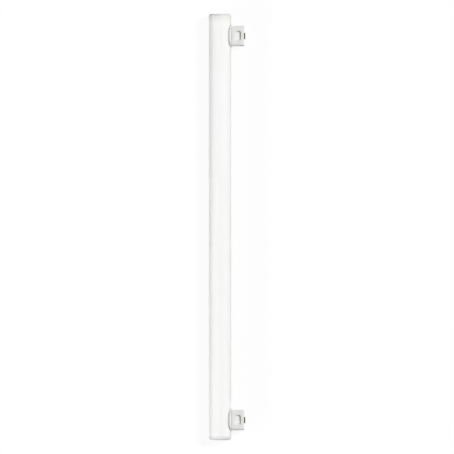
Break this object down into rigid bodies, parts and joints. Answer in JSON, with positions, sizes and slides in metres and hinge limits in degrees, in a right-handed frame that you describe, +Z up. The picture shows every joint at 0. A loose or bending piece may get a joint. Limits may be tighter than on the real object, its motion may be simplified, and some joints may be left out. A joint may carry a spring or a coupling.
{
  "type": "tubular light bulb",
  "caption": "Straight opal-white tubular lamp with plug caps on one side near its ends; each cap presses into a lamp holder and takes current through a brass contact.",
  "frame": {"origin": "under the middle of the lamp's box, on the floor that it lies on", "axes": "+Y along the tube towards its upper end as pictured, +X towards the caps' side, +Z up; the caps lean below level, so the lamp rests on its tube and on the lower outer edge of both caps"},
  "size_m": [0.0424, 0.5, 0.0263],
  "materials": {
    "opal_glass": "opal white, smooth and softly glossy, not see-through",
    "cap_plastic": "white moulded plastic with a fine satin grain",
    "contact_brass": "stamped brass, tarnished dark and rubbed a little brighter on its crown",
    "cap_cement": "dull cement",
    "lead_metal": "drawn wire, tinned"
  },
  "bodies": {
    "root": {"bulb_tube": "opal_glass", "upper_cap_body": "cap_plastic", "upper_contact": "contact_brass", "upper_cap_cement": "cap_cement", "upper_lead_wire": "lead_metal", "lower_cap_body": "cap_plastic", "lower_contact": "contact_brass", "lower_cap_cement": "cap_cement", "lower_lead_wire": "lead_metal"}
  },
  "joints": []
}
